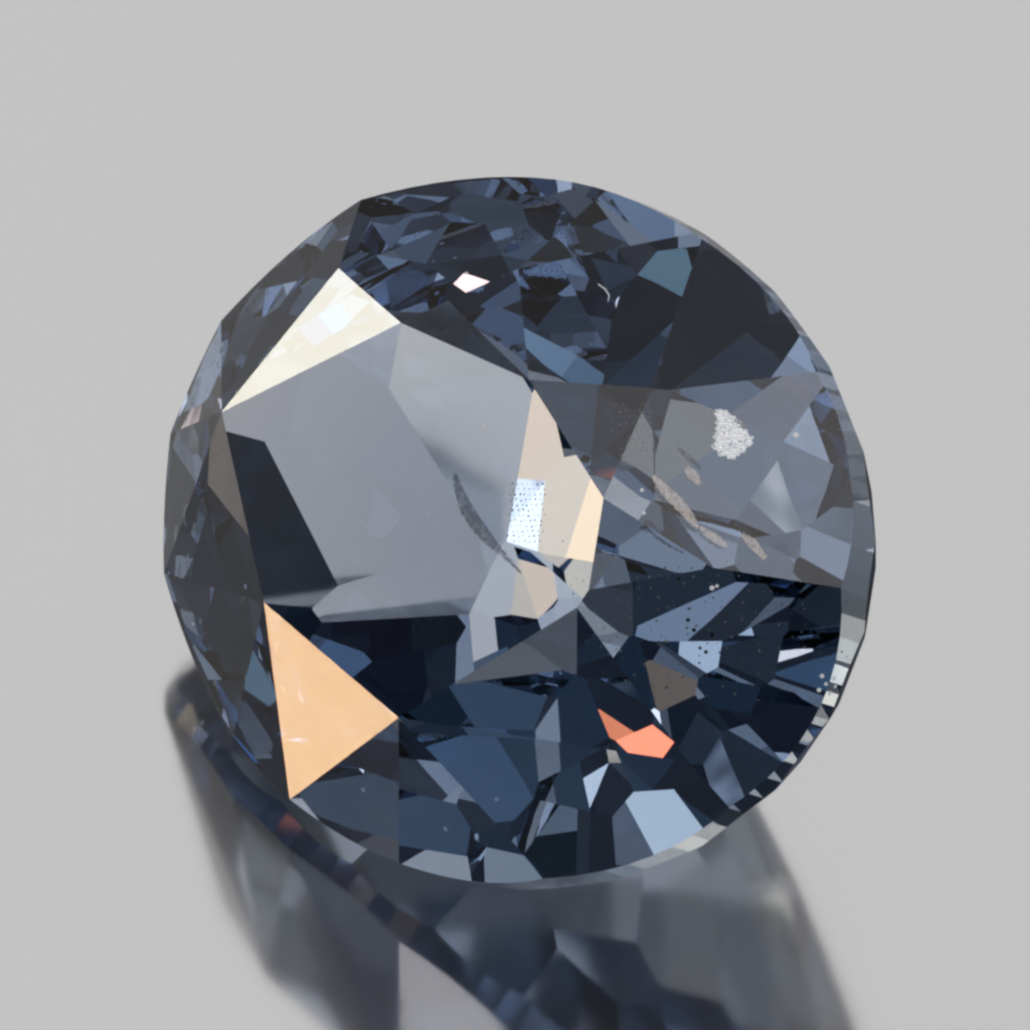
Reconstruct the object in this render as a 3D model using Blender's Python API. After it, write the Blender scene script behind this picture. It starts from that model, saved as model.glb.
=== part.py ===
"""Cut spinel: one oval gemstone with a brilliant crown, lying on its pavilion.

Every facet is a plane of the cut. The rough is a tall prism with the outline
of the girdle, and each plane slices it, first the crown and then the pavilion.
The cut's own frame has X along the oval, Z up through the table, and its
origin in the middle of the girdle's upper edge. Lengths are in millimetres
until the finished stone is scaled to metres and laid down on one facet.
"""

import math

import bmesh
import bpy
from mathutils import Matrix, Vector

# Driving dimensions of the cut, in millimetres
HALF_LENGTH = 3.71
HALF_WIDTH = 3.00
CROWN_HEIGHT = 1.284
GIRDLE_THICKNESS = 0.27
PAVILION_DEPTH = 2.80

# The girdle is not a perfect oval: it swells a little at two places
OUTLINE_POINTS = 96
SWELL_ONCE = 0.014
SWELL_ONCE_AT = 130.0
SWELL_TWICE = 0.016
SWELL_TWICE_AT = -45.0

# Corners of the table, and tips of the star facets that stop above the girdle
TABLE_CORNERS = {
    "left": (-2.34, 0.25),
    "far_left": (-0.82, 1.43),
    "far_right": (0.65, 1.29),
    "right": (1.77, 0.52),
    "near_right": (1.91, -0.26),
    "near_right_low": (1.85, -0.43),
    "near": (0.41, -1.78),
    "near_left": (-1.31, -1.19),
}
STAR_TIPS = {
    "far_left": (-2.01, 1.72, 0.75),
    "far": (-0.188, 2.17, 0.76),
    "far_right": (1.658, 1.54, 0.93),
    "right": (2.66, 0.23, 0.85),
    "near_right": (2.56, -1.24, 0.53),
}
# The far right bezel ends a little below the tip of its star
FAR_RIGHT_BEZEL_END = (1.774, 1.564, 0.849)

# Places round the girdle, in degrees, that crown facets run down to
STAR_NEAR = -112.0
STAR_NEAR_LEFT = -156.0
FOLD_NEAR = -91.0
FOLD_NEAR_RIGHT = -78.0
FOLD_NEAR_LEFT = -126.0
FOLD_LEFT = -179.0
FOLD_FAR_LEFT = 161.0
UPPER_FAR_LEFT = 106.0
UPPER_FAR = 92.0
UPPER_FAR_END = 79.0
UPPER_FAR_RIGHT = 72.0
UPPER_RIGHT = 45.0
UPPER_RIGHT_END = 28.0
UPPER_RIGHT_LIFT = 0.03

# Bezels that face a direction at a slope, both in degrees
BEZELS = {
    "right": (34.1, 36.5),
    "near_right": (-20.0, 38.0),
    "near": (-49.4, 36.9),
}

# Main facets of the pavilion meet round the culet, which lies off centre.
# Each has the direction that it faces and its slope, in degrees, and how far
# it passes above the culet
CULET = (-0.636, 0.0)
PAVILION_MAINS = {
    "left": (195.0, 39.0, 0.0),
    "far_left": (158.0, 38.4, 0.0),
    "far": (118.0, 37.9, 0.124),
    "far_right": (60.0, 36.2, 0.11),
    "near_left": (-129.1, 37.9, 0.0),
}

# Break facets lie between the mains and the girdle. Each has its direction,
# its slope, and how far below the girdle it would touch the outline
BREAKS = {
    "far_left": (163.0, 46.0, 0.084),
    "left": (202.0, 46.0, 0.04),
    "near_left": (-110.0, 45.8, 0.18),
}

# Rows of steps go part of the way round. Each row has the share that the
# outline is shrunk to where the row touches it, the depth of that outline
# below the girdle, the slope that its facets have at the oval's end, its
# first and last direction, and how many facets it has
STEP_ROWS = {
    "culet": (0.20, 2.40, 24.0, -75.0, 84.0, 6),
    "inner": (0.45, 1.85, 29.5, -68.0, 80.0, 8),
    "middle": (0.66, 1.28, 34.5, -74.0, 90.0, 10),
    "outer": (0.88, 0.60, 43.5, -68.0, 76.0, 10),
    "rim": (0.98, 0.12, 53.0, -62.0, 82.0, 11),
    "far_middle": (0.64, 1.205, 32.8, 98.0, 130.0, 3),
    "far_outer": (0.82, 0.69, 39.5, 88.0, 142.0, 4),
    "near_left": (0.676, 1.20, 37.7, -101.0, -139.0, 4),
}
LOWER_GIRDLE_COUNT = 24
LOWER_GIRDLE_FIRST = 2.0
LOWER_GIRDLE_SLOPE = 63.0

# The stone lies on one break facet, and is turned on the surface by this much
REST_BREAK = "near_left"
TURN = -31.5

# Tolerances and margins of the slicing, in millimetres
SNAP = 0.0001
MERGE = 0.005
PRISM_MARGIN = 0.5
MM = 0.001

SPINEL_COLOUR = (0.36, 0.43, 0.52, 1.0)
SPINEL_IOR = 1.718


def outline(degrees, height=0.0):
    """Point of the girdle at this place round the oval."""
    angle = math.radians(degrees)
    once = SWELL_ONCE * math.cos(angle - math.radians(SWELL_ONCE_AT))
    twice = SWELL_TWICE * math.cos(2 * (angle - math.radians(SWELL_TWICE_AT)))
    swell = 1 + once + twice
    x = HALF_LENGTH * swell * math.cos(angle)
    y = HALF_WIDTH * swell * math.sin(angle)
    return Vector((x, y, height))


def places(count, first=0.0):
    """Places round the oval, evenly spaced in degrees."""
    return [first + 360 * index / count for index in range(count)]


def plane_through(a, b, c):
    """Plane through three points, with its normal facing out of the stone."""
    a, b, c = Vector(a), Vector(b), Vector(c)
    normal = (b - a).cross(c - a).normalized()
    if normal.dot(a - Vector((0, 0, -GIRDLE_THICKNESS / 2))) < 0:
        normal = -normal
    return a, normal


def facing_up(azimuth, slope):
    """Normal of a crown facet that faces an azimuth at a slope."""
    turn, lean = math.radians(azimuth), math.radians(slope)
    return Vector((math.cos(turn) * math.sin(lean),
                   math.sin(turn) * math.sin(lean), math.cos(lean)))


def facing_down(azimuth, slope):
    """Normal of a pavilion facet that faces an azimuth at a slope."""
    up = facing_up(azimuth, slope)
    return Vector((up.x, up.y, -up.z))


def star_facets(corner, tip):
    """Planes of the table and of the stars that surround it."""
    return [
        (corner["left"], facing_up(0, 0)),
        plane_through(corner["left"], corner["far_left"], tip["far_left"]),
        plane_through(corner["far_left"], corner["far_right"], tip["far"]),
        plane_through(corner["far_right"], corner["right"], tip["far_right"]),
        plane_through(corner["right"], corner["near_right"], tip["right"]),
        plane_through(corner["near_right_low"], corner["near"], tip["near_right"]),
        plane_through(corner["near"], corner["near_left"], tip["near"]),
        plane_through(corner["near_left"], corner["left"], tip["near_left"]),
    ]


def bezel_facets(corner, tip):
    """Planes of the bezels, which are folded where a star reaches the girdle."""
    return [
        plane_through(corner["far_left"], tip["far_left"], tip["far"]),
        plane_through(corner["far_right"], tip["far"], tip["far_right"]),
        (corner["right"], facing_up(*BEZELS["right"])),
        (corner["near_right"], facing_up(*BEZELS["near_right"])),
        (corner["near"], facing_up(*BEZELS["near"])),
        plane_through(corner["near"], outline(FOLD_NEAR), outline(FOLD_NEAR_RIGHT)),
        plane_through(corner["near"], tip["near"], outline(FOLD_NEAR)),
        plane_through(corner["near_left"], tip["near"], outline(FOLD_NEAR_LEFT)),
        plane_through(corner["near_left"], outline(FOLD_NEAR_LEFT), tip["near_left"]),
        plane_through(corner["left"], tip["near_left"], outline(FOLD_LEFT)),
        plane_through(corner["left"], outline(FOLD_LEFT), outline(FOLD_FAR_LEFT)),
        plane_through(corner["left"], outline(FOLD_FAR_LEFT), tip["far_left"]),
    ]


def upper_girdle_facets(tip):
    """Planes of the small facets between two bezels and the girdle."""
    last = outline(UPPER_RIGHT_END, UPPER_RIGHT_LIFT)
    middle = outline(UPPER_RIGHT)
    return [
        plane_through(tip["far"], outline(UPPER_FAR_LEFT), outline(UPPER_FAR)),
        plane_through(tip["far"], outline(UPPER_FAR), outline(UPPER_FAR_END)),
        plane_through(FAR_RIGHT_BEZEL_END, middle, outline(UPPER_FAR_RIGHT)),
        plane_through(FAR_RIGHT_BEZEL_END, last, middle),
    ]


def crown_facets():
    """All planes of the crown."""
    corner = {}
    for name, (x, y) in TABLE_CORNERS.items():
        corner[name] = Vector((x, y, CROWN_HEIGHT))
    tip = {name: Vector(point) for name, point in STAR_TIPS.items()}
    tip["near"] = outline(STAR_NEAR)
    tip["near_left"] = outline(STAR_NEAR_LEFT)
    return star_facets(corner, tip) + bezel_facets(corner, tip) + upper_girdle_facets(tip)


def main_facet(azimuth, slope, lift):
    """Plane of a main facet, which passes the culet at this height above it."""
    culet = Vector((*CULET, -GIRDLE_THICKNESS - PAVILION_DEPTH))
    return culet + Vector((0, 0, lift)), facing_down(azimuth, slope)


def break_facet(azimuth, slope, drop):
    """Plane that touches the outline this far below the girdle."""
    turn = math.radians(azimuth)
    ahead = Vector((math.cos(turn), math.sin(turn), 0))
    height = -GIRDLE_THICKNESS - drop
    rim = [outline(place, height) for place in places(OUTLINE_POINTS)]
    return max(rim, key=ahead.dot), facing_down(azimuth, slope)


def reach(azimuth, share, depth):
    """Furthest point in a direction of the outline shrunk towards the culet."""
    turn = math.radians(azimuth)
    ahead = Vector((math.cos(turn), math.sin(turn), 0))
    culet = Vector((*CULET, -GIRDLE_THICKNESS - depth))
    rim = [outline(place, culet.z) for place in places(OUTLINE_POINTS)]
    return culet.lerp(max(rim, key=ahead.dot), share), ahead


def step_facets(share, depth, end_slope, first, last, count):
    """Planes of one row of steps, steeper where the oval is narrower."""
    end, _ = reach(0.0, 1.0, depth)
    facets = []
    for index in range(count):
        azimuth = first + (last - first) * index / (count - 1)
        point, ahead = reach(azimuth, share, depth)
        width = ahead.dot(reach(azimuth, 1.0, depth)[0] - Vector((*CULET, 0)))
        lean = math.tan(math.radians(end_slope)) * (end.x - CULET[0]) / width
        facets.append((point, facing_down(azimuth, math.degrees(math.atan(lean)))))
    return facets


def lower_girdle_facet(place, after):
    """Plane through a chord of the girdle's lower edge."""
    start = outline(place, -GIRDLE_THICKNESS)
    chord = outline(after, -GIRDLE_THICKNESS) - start
    azimuth = math.degrees(math.atan2(-chord.x, chord.y))
    return start, facing_down(azimuth, LOWER_GIRDLE_SLOPE)


def pavilion_facets():
    """All planes of the pavilion."""
    facets = [main_facet(*item) for item in PAVILION_MAINS.values()]
    facets += [break_facet(*item) for item in BREAKS.values()]
    for row in STEP_ROWS.values():
        facets += step_facets(*row)
    step = 360 / LOWER_GIRDLE_COUNT
    for place in places(LOWER_GIRDLE_COUNT, LOWER_GIRDLE_FIRST):
        facets.append(lower_girdle_facet(place, place + step))
    return facets


def girdle_prism():
    """Tall prism with the girdle's outline, to be sliced by the facets."""
    mesh = bmesh.new()
    top = CROWN_HEIGHT + PRISM_MARGIN
    bottom = -GIRDLE_THICKNESS - PAVILION_DEPTH - PRISM_MARGIN
    rim = [outline(place, bottom) for place in places(OUTLINE_POINTS)]
    base = mesh.faces.new([mesh.verts.new(point) for point in rim])
    grown = bmesh.ops.extrude_face_region(mesh, geom=[base])
    raised = [item for item in grown["geom"] if isinstance(item, bmesh.types.BMVert)]
    bmesh.ops.translate(mesh, verts=raised, vec=(0, 0, top - bottom))
    bmesh.ops.recalc_face_normals(mesh, faces=mesh.faces)
    return mesh


def slice_off(mesh, point, normal):
    """Cut away what lies outside a plane and close the stone with one facet."""
    everything = mesh.verts[:] + mesh.edges[:] + mesh.faces[:]
    bmesh.ops.bisect_plane(mesh, geom=everything, dist=SNAP, plane_co=point,
                           plane_no=normal, clear_outer=True)
    rim = [edge for edge in mesh.edges if edge.is_boundary]
    if rim:
        bmesh.ops.contextual_create(mesh, geom=rim)


def cut_stone():
    """Mesh of the finished stone in the cut's own frame."""
    mesh = girdle_prism()
    for point, normal in crown_facets() + pavilion_facets():
        slice_off(mesh, point, normal)
    bmesh.ops.remove_doubles(mesh, verts=mesh.verts, dist=MERGE)
    bmesh.ops.recalc_face_normals(mesh, faces=mesh.faces)
    return mesh


def lay_down(mesh):
    """Turn the stone onto its resting facet and stand that facet on Z = 0."""
    azimuth, slope, _ = BREAKS[REST_BREAK]
    down = facing_down(azimuth, slope)
    tip = down.rotation_difference(Vector((0, 0, -1))).to_matrix().to_4x4()
    turn = Matrix.Rotation(math.radians(TURN), 4, "Z")
    bmesh.ops.transform(mesh, matrix=Matrix.Scale(MM, 4) @ turn @ tip, verts=mesh.verts)
    low = [min(vert.co[axis] for vert in mesh.verts) for axis in range(3)]
    high = [max(vert.co[axis] for vert in mesh.verts) for axis in range(3)]
    centre = Vector(((low[0] + high[0]) / 2, (low[1] + high[1]) / 2, low[2]))
    bmesh.ops.translate(mesh, verts=mesh.verts, vec=-centre)


def spinel_material():
    """Transparent grey-blue spinel."""
    material = bpy.data.materials.new("spinel")
    material.use_nodes = True
    shader = material.node_tree.nodes["Principled BSDF"]
    shader.inputs["Base Color"].default_value = SPINEL_COLOUR
    shader.inputs["Roughness"].default_value = 0.0
    shader.inputs["Metallic"].default_value = 0.0
    shader.inputs["IOR"].default_value = SPINEL_IOR
    shader.inputs["Transmission Weight"].default_value = 1.0
    return material


def main():
    for item in list(bpy.data.objects):
        bpy.data.objects.remove(item)
    mesh = cut_stone()
    lay_down(mesh)
    data = bpy.data.meshes.new("spinel")
    mesh.to_mesh(data)
    mesh.free()
    data.materials.append(spinel_material())
    stone = bpy.data.objects.new("spinel", data)
    bpy.context.scene.collection.objects.link(stone)


main()
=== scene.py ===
import math
import random

import bmesh
import bpy
from mathutils import Matrix, Vector
from mathutils.bvhtree import BVHTree


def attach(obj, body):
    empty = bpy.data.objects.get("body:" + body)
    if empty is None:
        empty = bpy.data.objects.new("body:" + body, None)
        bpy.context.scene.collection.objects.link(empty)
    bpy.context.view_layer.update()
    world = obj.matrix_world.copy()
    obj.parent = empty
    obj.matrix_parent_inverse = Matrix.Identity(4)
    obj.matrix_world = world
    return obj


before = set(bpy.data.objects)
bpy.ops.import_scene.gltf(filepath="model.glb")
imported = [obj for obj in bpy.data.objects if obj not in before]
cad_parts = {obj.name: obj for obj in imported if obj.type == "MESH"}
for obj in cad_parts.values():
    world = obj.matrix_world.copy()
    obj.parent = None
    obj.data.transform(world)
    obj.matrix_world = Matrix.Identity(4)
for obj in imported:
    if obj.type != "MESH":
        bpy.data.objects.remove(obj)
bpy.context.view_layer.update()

# Photograph's framing
MM = 0.001
IMAGE_PIXELS = 1030
PIXELS_PER_MM = 117.33
PIXEL = MM / PIXELS_PER_MM
CAMERA_ELEVATION = 45.0
CAMERA_DISTANCE = 0.4
CAMERA_NEAR = 0.01
CAMERA_FAR = 10.0
SENSOR_MM = 36.0
CUT_CENTRE = Vector((-0.0773, -0.1015, 2.4896)) * MM
CUT_CENTRE_PIXEL = (509.0, 533.0)

# Floor, with a hair's breadth of air under the resting facet, so that no ray meets both at once
FLOOR_HALF = 0.3
FLOOR_GAP = 0.003 * MM
FLOOR_DARK = (0.74, 0.745, 0.75)
FLOOR_LIGHT = (0.775, 0.77, 0.765)
FLOOR_CLOUD_SCALE = 60.0
FLOOR_METALLIC = 0.92
FLOOR_ROUGHNESS = (0.09, 0.12)

# Spinel, with the faint waviness of its polish
SPINEL_IOR = 1.718
ABSORPTION_COLOUR = (0.30, 0.46, 0.65, 1.0)
ABSORPTION_DENSITY = 200.0
POLISH_SCALE = 900.0
POLISH_HEIGHT = 0.0015 * MM

# Crystals and films inside the stone; a film stops little light at the low end of its mottle
GRAIN_MOTTLE_SCALE = 60000.0
FILM_MOTTLE_SCALE = 25000.0
FILM_ROUGHNESS = 0.35
FILM_MOTTLE_RANGE = (0.3, 0.6)
FILM_LEAST_COVER = 0.25

# Camera's tone curve, in linear light, and the softness of its picture
TONE_CURVE = ((0.01, 0.0069), (0.0509, 0.0404), (0.214, 0.214), (0.5225, 0.568), (0.787, 0.83))
SOFT_PIXELS = 2
GLOW_THRESHOLD = 1.2
GLOW_STRENGTH = 0.10
GLOW_SIZE = 0.25

# Bounces of a path, in all and off glossy surfaces
PATH_BOUNCES = 16
GLOSSY_BOUNCES = 8

elevation = math.radians(CAMERA_ELEVATION)
TO_CAMERA = Vector((0.0, -math.cos(elevation), math.sin(elevation)))
IMAGE_RIGHT = Vector((1.0, 0.0, 0.0))
IMAGE_UP = Vector((0.0, math.sin(elevation), math.cos(elevation)))


def image_point(x, y):
    """World point that shows at a pixel of the photograph, as far away as the cut's centre."""
    right = (x - CUT_CENTRE_PIXEL[0]) / PIXELS_PER_MM
    up = (CUT_CENTRE_PIXEL[1] - y) / PIXELS_PER_MM
    return CUT_CENTRE + (IMAGE_RIGHT * right + IMAGE_UP * up) * MM


CAMERA_PLACE = image_point(IMAGE_PIXELS / 2, IMAGE_PIXELS / 2) + TO_CAMERA * CAMERA_DISTANCE


def direction(azimuth, rise):
    """Unit vector at an azimuth from +X and a rise above the floor, in degrees."""
    turn, lift = math.radians(azimuth), math.radians(rise)
    return Vector((math.cos(turn) * math.cos(lift), math.sin(turn) * math.cos(lift), math.sin(lift)))


# Materials
def new_material(name):
    """An empty material with its node tree and its main shader."""
    material = bpy.data.materials.new(name)
    material.use_nodes = True
    tree = material.node_tree
    return material, tree, tree.nodes["Principled BSDF"]


def noise_node(tree, scale, detail):
    place = tree.nodes.new("ShaderNodeTexCoord")
    noise = tree.nodes.new("ShaderNodeTexNoise")
    noise.inputs["Scale"].default_value = scale
    noise.inputs["Detail"].default_value = detail
    tree.links.new(place.outputs["Object"], noise.inputs["Vector"])
    return noise.outputs["Fac"]


def noise_mix(tree, dark, light, scale):
    """A mottle, and the colour between two others that follows it."""
    mottle = noise_node(tree, scale, 3.0)
    mix = tree.nodes.new("ShaderNodeMix")
    mix.data_type = "RGBA"
    mix.inputs["A"].default_value = (*dark, 1.0)
    mix.inputs["B"].default_value = (*light, 1.0)
    tree.links.new(mottle, mix.inputs["Factor"])
    return mottle, mix.outputs["Result"]


def spinel_material():
    material, tree, shader = new_material("spinel")
    shader.inputs["Base Color"].default_value = (1.0, 1.0, 1.0, 1.0)
    shader.inputs["Roughness"].default_value = 0.0
    shader.inputs["IOR"].default_value = SPINEL_IOR
    shader.inputs["Transmission Weight"].default_value = 1.0
    bump = tree.nodes.new("ShaderNodeBump")
    bump.inputs["Strength"].default_value = 1.0
    bump.inputs["Distance"].default_value = POLISH_HEIGHT
    tree.links.new(noise_node(tree, POLISH_SCALE, 1.0), bump.inputs["Height"])
    tree.links.new(bump.outputs["Normal"], shader.inputs["Normal"])
    absorption = tree.nodes.new("ShaderNodeVolumeAbsorption")
    absorption.inputs["Color"].default_value = ABSORPTION_COLOUR
    absorption.inputs["Density"].default_value = ABSORPTION_DENSITY
    tree.links.new(absorption.outputs["Volume"], tree.nodes["Material Output"].inputs["Volume"])
    return material


def floor_material():
    material, tree, shader = new_material("floor")
    mottle, colour = noise_mix(tree, FLOOR_DARK, FLOOR_LIGHT, FLOOR_CLOUD_SCALE)
    tree.links.new(colour, shader.inputs["Base Color"])
    shader.inputs["Metallic"].default_value = FLOOR_METALLIC
    rough = tree.nodes.new("ShaderNodeMapRange")
    rough.inputs["To Min"].default_value, rough.inputs["To Max"].default_value = FLOOR_ROUGHNESS
    tree.links.new(mottle, rough.inputs["Value"])
    tree.links.new(rough.outputs["Result"], shader.inputs["Roughness"])
    return material


def mottled_material(name, dark, light, scale, roughness, glow):
    """A mottled colour; glow is painted light that it gives off by itself, though it is no lamp."""
    material, tree, shader = new_material(name)
    mottle, colour = noise_mix(tree, dark, light, scale)
    tree.links.new(colour, shader.inputs["Base Color"])
    shader.inputs["Roughness"].default_value = roughness
    if glow:
        tree.links.new(colour, shader.inputs["Emission Color"])
        shader.inputs["Emission Strength"].default_value = glow
    return material, mottle


def grain_material(name, dark, light, roughness, glow=0.0):
    return mottled_material(name, dark, light, GRAIN_MOTTLE_SCALE, roughness, glow)[0]


def film_material(name, dark, light, cover, glow=0.0):
    """Patchy film; cover is the share of light that it stops where it is thickest."""
    material, mottle = mottled_material(name, dark, light, FILM_MOTTLE_SCALE, FILM_ROUGHNESS, glow)
    tree = material.node_tree
    amount = tree.nodes.new("ShaderNodeMapRange")
    amount.inputs["From Min"].default_value, amount.inputs["From Max"].default_value = FILM_MOTTLE_RANGE
    amount.inputs["To Min"].default_value = cover * FILM_LEAST_COVER
    amount.inputs["To Max"].default_value = cover
    tree.links.new(mottle, amount.inputs["Value"])
    tree.links.new(amount.outputs["Result"], tree.nodes["Principled BSDF"].inputs["Alpha"])
    return material


# Dark room, and the paler belt round its horizon, full below the first rise and gone past the other
ROOM_TONE = (0.035, 0.037, 0.047)
RIM_TONE = (0.42, 0.42, 0.43)
RIM_RISES = (13, 17)

# Light round the stone: azimuth, rise, full and outer radius of each patch in degrees, and its colour.
# The first wide patches were placed on a map of the sky that a scratch program fitted to the photograph.
# The room tone and the first colours of two dozen patches came from such a fit too. More than half of
# these are still near it, and the others were changed one by one.
# The directions of the other patches were read off the paths of the photograph's rays through
# the stone, and some were moved a little. Their colours were set one by one. A patch covers those before it.
# Pale sheet behind the stone, and the window overhead
PALE_SHEETS = (
    (60, 46, 27, 44, (0.69, 0.66, 0.655)),
    (200, 87, 12, 24, (0.85, 0.83, 0.84)),
)
# Dimmer ends of the sheet on the left
SHEET_ENDS = (
    (143, 38, 14, 22, (0.33, 0.32, 0.315)),
    (116, 28, 11, 17, (0.42, 0.41, 0.4)),
    (110, 11, 6, 10, (0.22, 0.21, 0.21)),
)
# Darker gaps in the sheet, and the plain backdrop that the floor mirrors to the camera
SHEET_GAPS = (
    (70, 46, 9, 13, (0.1, 0.1, 0.11)),
    (67, 30, 5, 8, (0.1, 0.1, 0.11)),
    (90, 45, 2.5, 5, (0.7, 0.7, 0.7)),
)
# Pale spots overhead, seen through the table and the cloudy part
HIGH_SPOTS = (
    (48, 76, 3, 6, (1.2, 1.15, 1.15)),
    (158, 65, 2, 4, (0.95, 0.9, 0.85)),
    (70, 83, 2, 4, (1.1, 1.03, 0.97)),
    (303, 84, 3, 6, (1.15, 1.1, 1.05)),
    (210, 81, 2, 4, (0.42, 0.38, 0.36)),
    (244.5, 57, 2.2, 4.2, (1.5, 1.45, 1.4)),
)
# Dark panels and bars round the sheet
DARK_PANELS = (
    (12, 38, 8, 16, (0.01, 0.01, 0.012)),
    (110, 52, 4, 9, (0.02, 0.02, 0.025)),
    (131, 58, 5, 10, (0.09, 0.09, 0.1)),
    (78, 18, 4, 8, (0.03, 0.03, 0.035)),
    (40, 29, 5, 8, (0.035, 0.04, 0.05)),
    (67, 41, 3, 5, (0.05, 0.05, 0.06)),
    (60, 14, 1.5, 3.5, (0.04, 0.04, 0.05)),
    (55, 24, 1.2, 2.6, (0.04, 0.04, 0.05)),
    (50, 31, 1.5, 3, (0.04, 0.04, 0.05)),
)
# Grey and blue-grey tones low behind the stone
LOW_TONES = (
    (80, 33, 3, 5, (0.45, 0.46, 0.47)),
    (90, 23, 4, 7, (0.12, 0.12, 0.13)),
    (101, 25, 2.5, 4, (0.35, 0.38, 0.42)),
    (23, 39, 3, 5, (0.12, 0.15, 0.18)),
    (16.6, 36.6, 2.5, 4, (0.3, 0.33, 0.37)),
)
# Brown and grey of the room near the floor
ROOM_RIM = (
    (5, 19, 6, 10, (0.25, 0.22, 0.18)),
    (5.4, 18.9, 1.5, 3, (0.62, 0.37, 0.22)),
    (0, 0, 10, 30, (0.13, 0.13, 0.12)),
    (150, 0, 12, 26, (0.14, 0.13, 0.125)),
)
# Wall on the left, pale above and dark below
LEFT_WALL = (
    (176, 58, 7, 11, (0.6, 0.57, 0.56)),
    (200, 36, 8, 14, (0.05, 0.075, 0.1)),
    (225, 41, 5, 10, (0.08, 0.09, 0.1)),
)
# Dark side of the room behind the camera, with its few bluish tones
CAMERA_SIDE = (
    (270, 40, 20, 32, (0.012, 0.022, 0.032)),
    (245, 3, 12, 17, (0.015, 0.03, 0.04)),
    (214, 5, 7, 11, (0.03, 0.04, 0.05)),
    (283, 52, 3, 5, (0.14, 0.17, 0.2)),
    (249, 39, 4, 6, (0.18, 0.24, 0.3)),
    (241, 44, 3, 5, (0.49, 0.42, 0.34)),
    (233, 52, 3, 6, (0.09, 0.12, 0.15)),
    (237, 16, 7, 12, (0.24, 0.27, 0.27)),
    (262, 60, 6, 10, (0.15, 0.19, 0.23)),
    (271, 52.6, 3.2, 5, (2.2, 2, 1.85)),
    (267, 66, 1.5, 2.5, (0.02, 0.02, 0.02)),
    (286, 55, 1.5, 2.5, (0.02, 0.02, 0.03)),
)
# Warm and pale lamps on the left, seen through the right edge of the table and beside it
WARM_LAMPS = (
    (209, 63, 2, 3.5, (1.3, 1.05, 0.85)),
    (181.7, 36.8, 1.2, 2, (0.42, 0.38, 0.35)),
    (201.5, 42.7, 1.2, 2, (2.4, 1.7, 1.1)),
    (185.9, 22.4, 1, 2, (1.8, 1.3, 0.9)),
    (206.1, 36.6, 1.5, 2.5, (3.6, 3.2, 2.9)),
    (222.8, 17.7, 0.8, 1.25, (2.8, 2.6, 2.4)),
    (232.8, 15, 2, 3, (2.4, 1.6, 1)),
    (167.9, 50.9, 0.9, 1.5, (4, 2.4, 1.3)),
    (167.6, 57.6, 1, 1.7, (1.35, 1.12, 0.92)),
    (165.6, 58.1, 0.4, 0.9, (0.55, 0.5, 0.46)),
    (228.8, 25.9, 0.9, 1.6, (1.3, 1.1, 0.95)),
    (189.7, 23.5, 1, 1.8, (1.4, 1.2, 1)),
    (168.5, 35.9, 0.9, 1.6, (1.4, 1.2, 1)),
    (210.7, 52.2, 0.9, 1.6, (1.1, 0.95, 0.85)),
    (206.4, 31.9, 0.8, 1.4, (3.2, 2.8, 2.4)),
    (184.8, 19.6, 0.9, 1.5, (1.4, 1.2, 1)),
)
# Soft tones of the cloudy part right of the table, and a dark one under it
CLOUDY_TONES = (
    (241.2, 36, 1, 2, (0.34, 0.33, 0.32)),
    (223, 38.8, 0.7, 1.3, (0.34, 0.33, 0.32)),
    (227.4, 39.8, 0.6, 1.2, (0.34, 0.33, 0.32)),
    (172.7, 36.2, 0.6, 1.2, (0.34, 0.32, 0.31)),
    (191.6, 70.8, 0.8, 1.4, (0.4, 0.39, 0.4)),
    (199.5, 71.8, 1.4, 2, (0.05, 0.06, 0.07)),
    (174.6, 44.4, 0.9, 1.5, (0.34, 0.32, 0.31)),
    (243.5, 64.5, 1.5, 2.5, (0.3, 0.29, 0.29)),
    (187.4, 42.9, 1, 2, (0.33, 0.32, 0.32)),
    (205.4, 46, 1, 1.8, (0.33, 0.32, 0.32)),
    (226.2, 47, 0.8, 1.6, (0.33, 0.33, 0.33)),
)
# Dark and blue-grey spots seen by the mirror image in the floor and by the upper facets
MIRROR_DARKS = (
    (53, 40.8, 1.4, 2.6, (0.1, 0.11, 0.12)),
    (46.4, 42.8, 1, 2.2, (0.12, 0.13, 0.14)),
    (45.3, 53.2, 0.9, 2, (0.12, 0.13, 0.14)),
    (35.8, 57, 1.8, 3, (0.12, 0.13, 0.14)),
    (55, 65, 4, 6, (0.12, 0.13, 0.14)),
    (25, 37, 3, 5, (0.12, 0.13, 0.14)),
    (39.4, 42.2, 1.4, 2.8, (0.1, 0.11, 0.13)),
    (11.6, 53.7, 3, 5, (0.28, 0.31, 0.35)),
    (59.2, 25.3, 1.5, 2.5, (0.1, 0.11, 0.12)),
)
# Small flashes of the lower facets
LOW_FLASHES = (
    (176, 41, 0.9, 1.6, (2.1, 1.4, 0.9)),
    (218, 34, 1.5, 2.5, (1.9, 1.4, 0.95)),
    (182.5, 47.1, 1.5, 2.5, (0.6, 0.6, 0.62)),
    (208.7, 43.2, 1.5, 2.5, (1.25, 1.2, 1.15)),
    (217.8, 38.8, 1, 1.7, (0.5, 0.33, 0.22)),
    (196.2, 30.5, 1, 1.5, (4.6, 1.1, 0.5)),
    (216.2, 51.2, 1, 1.8, (2.6, 0.7, 0.3)),
    (210.4, 30.7, 1.5, 2.5, (1.35, 1.3, 1.2)),
    (224.7, 36.6, 0.9, 1.5, (1.6, 1.5, 1.4)),
    (201.7, 15, 0.9, 1.5, (2.4, 1.9, 1.6)),
)
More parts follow.
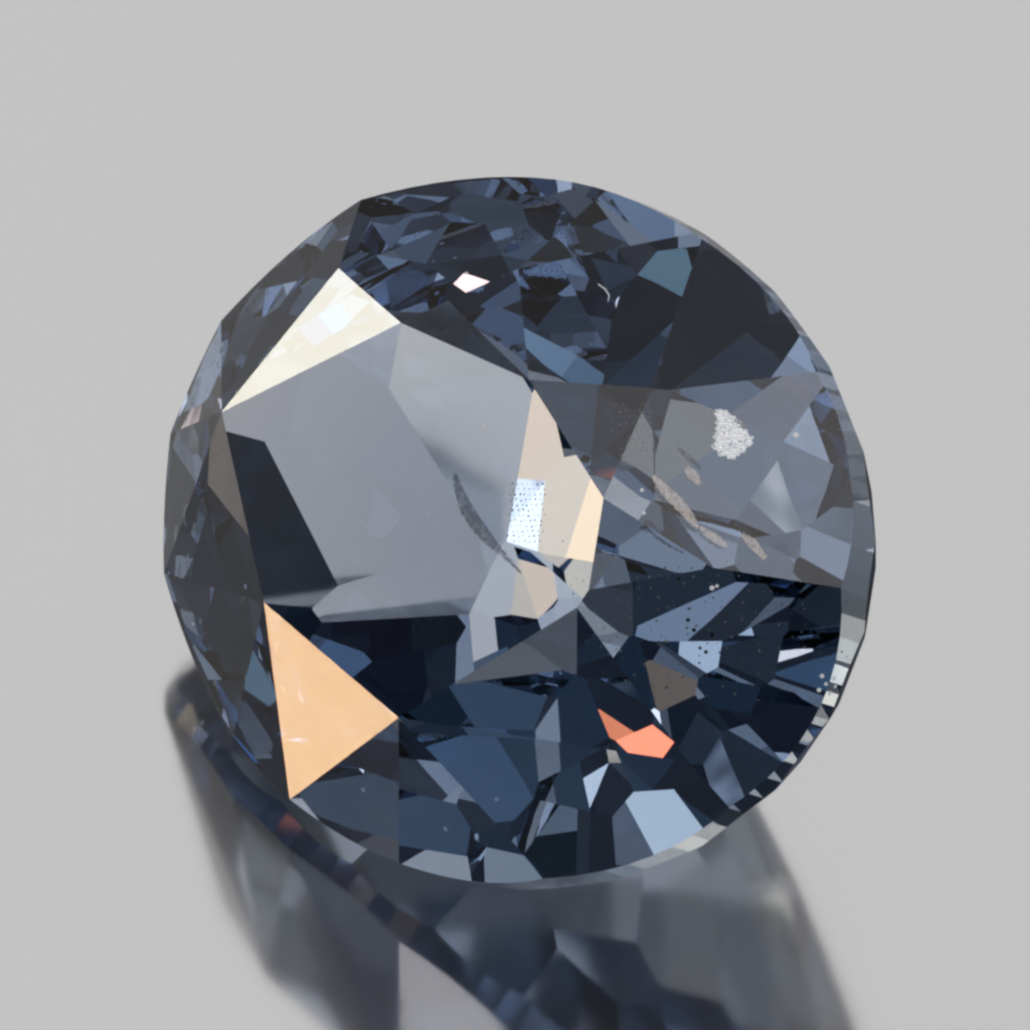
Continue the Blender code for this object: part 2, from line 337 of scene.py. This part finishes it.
# Small flashes of the upper facets
CROWN_FLASHES = (
    (274.2, 21.3, 1.2, 2, (5, 3, 2.2)),
    (288.2, 23.9, 1.5, 2.5, (0.35, 0.42, 0.5)),
    (258.1, 25.9, 1.5, 2.5, (0.28, 0.38, 0.4)),
    (262.9, 15.3, 1.5, 2.5, (0.38, 0.48, 0.54)),
    (253.5, 15.4, 1.5, 2.5, (0.25, 0.33, 0.38)),
    (292.5, 29.4, 1.2, 2.2, (0.2, 0.7, 1.5)),
    (298.6, 36.5, 1.2, 2.2, (0.1, 0.25, 0.5)),
)
# Lit girdle, and the strong lamps that the white and the orange facet show
EDGE_LAMPS = (
    (135, 9, 6, 11, (1.25, 1.1, 0.9)),
    (171, 37.3, 0.8, 1.5, (1.7, 1.25, 0.85)),
    (125, 4, 2, 3.5, (2, 1.7, 1.3)),
    (130, 8, 1.2, 2.2, (7.4, 7.1, 6)),
    (171.5, 41, 1.8, 2.4, (12.5, 7.7, 4.4)),
)
LIGHT_PATCHES = (
    PALE_SHEETS + SHEET_ENDS + SHEET_GAPS + HIGH_SPOTS + DARK_PANELS + LOW_TONES + ROOM_RIM + LEFT_WALL
    + CAMERA_SIDE + WARM_LAMPS + CLOUDY_TONES + MIRROR_DARKS + LOW_FLASHES + CROWN_FLASHES + EDGE_LAMPS
)


# Surroundings
class Sky:
    """Soft light round the stone: round patches of the sky, each laid over those before it."""

    def __init__(self, base):
        self.world = bpy.data.worlds.new("studio")
        bpy.context.scene.world = self.world
        self.world.use_nodes = True
        self.tree = self.world.node_tree
        self.coordinates = self.tree.nodes.new("ShaderNodeTexCoord")
        node = self.tree.nodes.new("ShaderNodeRGB")
        node.outputs[0].default_value = (*base, 1.0)
        self.total = node.outputs[0]

    def along(self, axis):
        """How far the looked-at direction points along an axis."""
        node = self.tree.nodes.new("ShaderNodeVectorMath")
        node.operation = "DOT_PRODUCT"
        node.inputs[1].default_value = axis
        self.tree.links.new(self.coordinates.outputs["Generated"], node.inputs[0])
        return node.outputs["Value"]

    def ramp(self, value, low, high):
        """0 below low and 1 above high, smooth between them."""
        node = self.tree.nodes.new("ShaderNodeMapRange")
        node.interpolation_type = "SMOOTHSTEP"
        node.inputs["From Min"].default_value = low
        node.inputs["From Max"].default_value = high
        self.tree.links.new(value, node.inputs["Value"])
        return node.outputs["Result"]

    def rim(self, lower, upper, colour):
        """A belt round the horizon, full below the lower rise and gone past the upper one, in degrees."""
        value = self.along(Vector((0.0, 0.0, -1.0)))
        self.lay(self.ramp(value, -math.sin(math.radians(upper)), -math.sin(math.radians(lower))), colour)

    def patch(self, azimuth, rise, inner, outer, colour):
        """A round soft patch, full within the inner angle and gone past the outer one, in degrees."""
        value = self.along(direction(azimuth, rise))
        self.lay(self.ramp(value, math.cos(math.radians(outer)), math.cos(math.radians(inner))), colour)

    def lay(self, mask, colour):
        """Lays a colour over the light so far, where the mask is full."""
        node = self.tree.nodes.new("ShaderNodeMix")
        node.data_type = "RGBA"
        node.clamp_result = False
        self.tree.links.new(mask, node.inputs["Factor"])
        self.tree.links.new(self.total, node.inputs["A"])
        node.inputs["B"].default_value = (*colour, 1.0)
        self.total = node.outputs["Result"]

    def finish(self):
        background = self.tree.nodes["Background"]
        self.tree.links.new(self.total, background.inputs["Color"])
        background.inputs["Strength"].default_value = 1.0


def build_sky():
    sky = Sky(ROOM_TONE)
    sky.rim(*RIM_RISES, RIM_TONE)
    for azimuth, rise, inner, outer, colour in LIGHT_PATCHES:
        sky.patch(azimuth, rise, inner, outer, colour)
    sky.finish()


def build_floor():
    half, down = FLOOR_HALF, -FLOOR_GAP
    corners = [(-half, -half, down), (half, -half, down), (half, half, down), (-half, half, down)]
    data = bpy.data.meshes.new("floor")
    data.from_pydata(corners, [], [(0, 1, 2, 3)])
    data.materials.append(floor_material())
    floor = bpy.data.objects.new("floor", data)
    bpy.context.scene.collection.objects.link(floor)


def build_camera():
    lens = bpy.data.cameras.new("camera")
    lens.sensor_width = SENSOR_MM
    span = IMAGE_PIXELS / PIXELS_PER_MM * MM
    lens.lens = SENSOR_MM * CAMERA_DISTANCE / span
    lens.clip_start = CAMERA_NEAR
    lens.clip_end = CAMERA_FAR
    camera = bpy.data.objects.new("camera", lens)
    bpy.context.scene.collection.objects.link(camera)
    camera.location = CAMERA_PLACE
    camera.rotation_euler = TO_CAMERA.to_track_quat("Z", "Y").to_euler()
    bpy.context.scene.camera = camera


def set_rendering():
    scene = bpy.context.scene
    # No map of the sky's bright parts, which would cost more time than it saves here
    scene.world.cycles.sampling_method = "NONE"
    scene.cycles.max_bounces = PATH_BOUNCES
    scene.cycles.transmission_bounces = PATH_BOUNCES
    scene.cycles.glossy_bounces = GLOSSY_BOUNCES
    scene.cycles.caustics_reflective = True
    scene.cycles.caustics_refractive = True


def set_tones():
    """A camera's contrast, by a curve for all three colours together."""
    view = bpy.context.scene.view_settings
    view.view_transform = "Standard"
    view.use_curve_mapping = True
    combined = view.curve_mapping.curves[3]
    for place, height in TONE_CURVE:
        combined.points.new(place, height)
    view.curve_mapping.update()


def set_softness():
    """The slight softness of a close-up picture, and a faint glow round its brightest flashes."""
    scene = bpy.context.scene
    scene.use_nodes = True
    tree = scene.node_tree
    layers = next(node for node in tree.nodes if node.type == "R_LAYERS")
    picture = next(node for node in tree.nodes if node.type == "COMPOSITE")
    glow = tree.nodes.new("CompositorNodeGlare")
    glow.glare_type = "FOG_GLOW"
    glow.quality = "HIGH"
    glow.inputs["Threshold"].default_value = GLOW_THRESHOLD
    glow.inputs["Strength"].default_value = GLOW_STRENGTH
    glow.inputs["Size"].default_value = GLOW_SIZE
    blur = tree.nodes.new("CompositorNodeBlur")
    blur.filter_type = "GAUSS"
    blur.size_x = SOFT_PIXELS
    blur.size_y = SOFT_PIXELS
    tree.links.new(layers.outputs["Image"], glow.inputs["Image"])
    tree.links.new(glow.outputs["Image"], blur.inputs["Image"])
    tree.links.new(blur.outputs["Image"], picture.inputs["Image"])


# Places inside the stone
def world_bvh(thing):
    """Search tree of a node's faces, in the world."""
    to_world = thing.matrix_world
    corners = [to_world @ vertex.co for vertex in thing.data.vertices]
    return BVHTree.FromPolygons(corners, [tuple(face.vertices) for face in thing.data.polygons])


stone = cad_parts["spinel"]
FACES = world_bvh(stone)


def seen_inside(x, y, depth):
    """Where the ray of a pixel gets to, depth millimetres behind the facet that it enters by."""
    ray = (image_point(x, y) - CAMERA_PLACE).normalized()
    place, normal, _, _ = FACES.ray_cast(CAMERA_PLACE, ray)
    if normal.dot(ray) > 0:
        normal = -normal
    ratio = 1.0 / SPINEL_IOR
    facing = -normal.dot(ray)
    onward = math.sqrt(1.0 - ratio * ratio * (1.0 - facing * facing))
    inner = (ray * ratio + normal * (ratio * facing - onward)).normalized()
    return place + inner * depth * MM


def inside_polygon(x, y, corners):
    inside = False
    for (xa, ya), (xb, yb) in zip(corners, corners[1:] + corners[:1]):
        if (ya > y) != (yb > y) and x < (xb - xa) * (y - ya) / (yb - ya) + xa:
            inside = not inside
    return inside


def rows_in_polygon(corners, pitch, row_pitch, lean):
    """Pixel places in rows over a polygon; lean is how far the rows step sideways for each pixel down."""
    across = [x for x, _ in corners]
    down = [y for _, y in corners]
    y = min(down)
    while y < max(down):
        x = min(across) - ROW_MARGIN
        while x < max(across) + ROW_MARGIN:
            place = (x + lean * (y - down[0]), y)
            if inside_polygon(*place, corners):
                yield place
            x += pitch
        y += row_pitch


# Shapes of the inclusions
def inclusion(name, bm, material):
    """Turns a bmesh into a piece that rides with the stone."""
    bmesh.ops.recalc_face_normals(bm, faces=bm.faces)
    data = bpy.data.meshes.new(name)
    bm.to_mesh(data)
    bm.free()
    data.materials.append(material)
    piece = bpy.data.objects.new(name, data)
    bpy.context.scene.collection.objects.link(piece)
    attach(piece, "root")


def add_grain(bm, place, pixels, detail=1):
    """A small rounded crystal, its radius in pixels of the photograph."""
    shift = Matrix.Translation(place) @ GRAIN_TURN
    bmesh.ops.create_icosphere(bm, subdivisions=detail, radius=pixels * PIXEL, matrix=shift)


def add_grains(bm, places, chance, sway, depth, sizes):
    """Crystals at pixel places, each up to sway pixels off its place, with radii from the range of sizes."""
    for x, y in places:
        spot = seen_inside(x + chance.uniform(-sway, sway), y + chance.uniform(-sway, sway), depth)
        add_grain(bm, spot, chance.uniform(*sizes))


def points_along(line, widths):
    """Evenly stepped pixel places and widths along a line of pixels."""
    for i in range(len(line) - 1):
        for step in range(RIBBON_STEPS):
            t = step / RIBBON_STEPS
            x = line[i][0] * (1 - t) + line[i + 1][0] * t
            y = line[i][1] * (1 - t) + line[i + 1][1] * t
            yield x, y, widths[i] * (1 - t) + widths[i + 1] * t
    yield *line[-1], widths[-1]


def ribbon(bm, line, widths, depth, thickness, ripple=0.0):
    """A thin closed film along a line of pixels, at a depth in the stone."""
    spots = list(points_along(line, widths))
    rings = []
    for i, (x, y, width) in enumerate(spots):
        before = spots[max(i - 1, 0)]
        after = spots[min(i + 1, len(spots) - 1)]
        run = Vector((after[0] - before[0], after[1] - before[1])).normalized()
        side = Vector((-run.y, run.x)) * width / 2
        sway = ripple * math.sin(i * 2.1) + ripple * 0.6 * math.sin(i * 4.7 + 1.0)
        rings.append([
            bm.verts.new(seen_inside(x + side.x * share + sway, y + side.y * share, depth + back * thickness))
            for share, back in RIBBON_SECTION
        ])
    for ring, following in zip(rings, rings[1:]):
        for k in range(len(ring)):
            turned = (k + 1) % len(ring)
            bm.faces.new((ring[k], ring[turned], following[turned], following[k]))
    bm.faces.new(rings[0])
    bm.faces.new(rings[-1])


# Inclusions, their places in pixels of the photograph
ROW_MARGIN = 60
GRAIN_TURN = Matrix.Rotation(math.radians(180.0), 4, "Z")
RIBBON_STEPS = 8
RIBBON_SECTION = ((-1, 0), (-0.4, -1), (0.4, -1), (1, 0), (0.4, 1), (-0.4, 1))
FEATHER = ((455, 474), (459, 490), (466, 508), (477, 525), (489, 540), (504, 555), (521, 573))
FEATHER_WIDTHS = (4, 9, 13, 14, 11, 5, 2)
FINGERPRINT = [(510, 480), (530, 479), (545, 484), (546, 505), (542, 545), (507, 541)]
SILK = [(606, 402), (660, 398), (654, 450), (614, 462)]
DOTTED_ROW = [(527 + 2.5 * step, 283 + 1.3 * step + 0.06 * step * step) for step in range(10)]
WHITE_VEIL = [(716, 411), (727, 411), (745, 430), (752, 437), (752, 446), (735, 458), (719, 457),
              (712, 445), (716, 426)]
TUBES = (
    (((653, 476), (664, 489), (678, 503), (690, 517), (698, 528)), (4, 10, 12, 9, 3)),
    (((700, 527), (709, 534), (719, 541), (727, 546)), (3, 8, 8, 3)),
    (((742, 534), (752, 543), (765, 558)), (4, 10, 5)),
    (((686, 468), (693, 475), (699, 484)), (5, 11, 4)),
)
BROWN_LINES = (
    (((649, 479), (659, 495), (673, 511), (687, 525), (697, 534)), (2, 4, 4, 3, 2)),
    (((643, 522), (655, 536), (668, 545), (683, 553)), (2, 3, 3, 2)),
    (((678, 448), (688, 457), (700, 468)), (3, 6, 3)),
    (((699, 534), (710, 542), (722, 549)), (2, 3, 2)),
)
HAIR = ((598, 284), (605, 289), (609, 295), (608, 302))
HAIR_WIDTHS = (1.2, 1.6, 1.4, 0.9)
PINPOINTS = [(588, 585), (640, 572), (700, 560), (820, 600), (818, 668), (740, 700), (640, 690), (580, 640)]
DARK_GRAINS = ((694, 630), (712, 635), (700, 648), (688, 620), (679, 579), (706, 652))
# Pale crystals and small specks; their glow is painted light, a painted glint on each
PAINTED_GLINT_GRAINS = ((484, 428, 2.6), (644, 513, 1.8), (642, 490, 2.0), (712, 588, 2.6), (717, 586, 1.8),
                 (796, 435, 3.0), (822, 676, 2.4), (826, 684, 2.0), (819, 690, 2.4), (193, 624, 1.8),
                 (466, 273, 2.2), (563, 541, 1.6))


def build_feather(brown):
    bm = bmesh.new()
    ribbon(bm, FEATHER, FEATHER_WIDTHS, depth=0.45, thickness=0.012, ripple=0.7)
    inclusion("feather", bm, brown)


def build_fingerprint(chance, dark):
    bm = bmesh.new()
    places = rows_in_polygon(FINGERPRINT, pitch=5.0, row_pitch=5.2, lean=0.2)
    add_grains(bm, places, chance, sway=0.9, depth=0.35, sizes=(0.6, 1.3))
    inclusion("fingerprint", bm, dark)


def build_silk(chance, pale):
    bm = bmesh.new()
    places = rows_in_polygon(SILK, pitch=6.0, row_pitch=6.5, lean=-0.42)
    add_grains(bm, places, chance, sway=1.2, depth=0.3, sizes=(0.5, 1.1))
    for x, y in DOTTED_ROW:
        add_grain(bm, seen_inside(x, y, 0.3), 0.7)
    inclusion("silk", bm, pale)


# Tubes of rose film, its colour its own, lightened by a painted glow
def build_tubes(rose_painted_glow):
    bm = bmesh.new()
    for line, widths in TUBES:
        ribbon(bm, line, widths, depth=0.5, thickness=0.02, ripple=0.5)
    inclusion("tubes", bm, rose_painted_glow)


def build_brown_lines(brown):
    bm = bmesh.new()
    for line, widths in BROWN_LINES:
        ribbon(bm, line, widths, depth=0.46, thickness=0.006, ripple=0.6)
    inclusion("brown_lines", bm, brown)


# Hair and pale grains of pale crystal colour, which shine by a painted glow as painted glints
def build_painted_glint_grains(pale_painted_glow):
    bm = bmesh.new()
    ribbon(bm, HAIR, HAIR_WIDTHS, depth=0.3, thickness=0.004)
    for x, y, size in PAINTED_GLINT_GRAINS:
        add_grain(bm, seen_inside(x, y, 0.25), size, detail=2)
    inclusion("painted_glint_grains", bm, pale_painted_glow)


def build_pinpoints(chance, pale):
    bm = bmesh.new()
    for x, y in rows_in_polygon(PINPOINTS, pitch=17.0, row_pitch=13.0, lean=0.6):
        spot = seen_inside(x + chance.uniform(-8, 8), y + chance.uniform(-6, 6), chance.uniform(0.25, 0.8))
        add_grain(bm, spot, chance.uniform(0.5, 1.8))
    inclusion("pinpoints", bm, pale)


def build_dark_grains(chance, dark):
    bm = bmesh.new()
    for x, y in DARK_GRAINS:
        add_grain(bm, seen_inside(x, y, 0.3), chance.uniform(1.6, 2.4), detail=2)
    inclusion("dark_grains", bm, dark)


# White veil of pale crystal colour of its own, with a painted glow that makes it shine
def build_white_veil(chance, pale_painted_glow):
    bm = bmesh.new()
    places = rows_in_polygon(WHITE_VEIL, pitch=3.1, row_pitch=2.9, lean=0.5)
    add_grains(bm, places, chance, sway=0.6, depth=0.4, sizes=(1.6, 2.3))
    inclusion("white_veil", bm, pale_painted_glow)


def build_inclusions():
    chance = random.Random(7)
    pale = grain_material("pale_crystal", (0.55, 0.53, 0.52), (0.95, 0.93, 0.90), 0.35)
    # Pale crystal colour of its own, with a painted glow: painted glints on the grains, the hair and the
    # white veil
    pale_painted_glow = grain_material("pale_crystal_painted_glow", (0.85, 0.88, 0.95), (1.0, 0.98, 0.95), 0.2, glow=0.35)
    dark = grain_material("dark_crystal", (0.02, 0.02, 0.025), (0.10, 0.09, 0.09), 0.4)
    brown = film_material("brown_film", (0.07, 0.05, 0.04), (0.26, 0.20, 0.16), cover=0.38)
    # Pale rose film of its own colour, with a painted glow that lightens the tubes
    rose_painted_glow = film_material("tube_film", (0.60, 0.50, 0.45), (0.98, 0.92, 0.88), cover=0.6, glow=0.30)
    build_feather(brown)
    build_fingerprint(chance, dark)
    build_silk(chance, pale)
    build_tubes(rose_painted_glow)
    build_brown_lines(brown)
    build_painted_glint_grains(pale_painted_glow)
    build_pinpoints(chance, pale)
    build_dark_grains(chance, dark)
    build_white_veil(chance, pale_painted_glow)


stone.data.materials.clear()
stone.data.materials.append(spinel_material())
build_inclusions()
build_floor()
build_sky()
build_camera()
set_rendering()
set_tones()
set_softness()
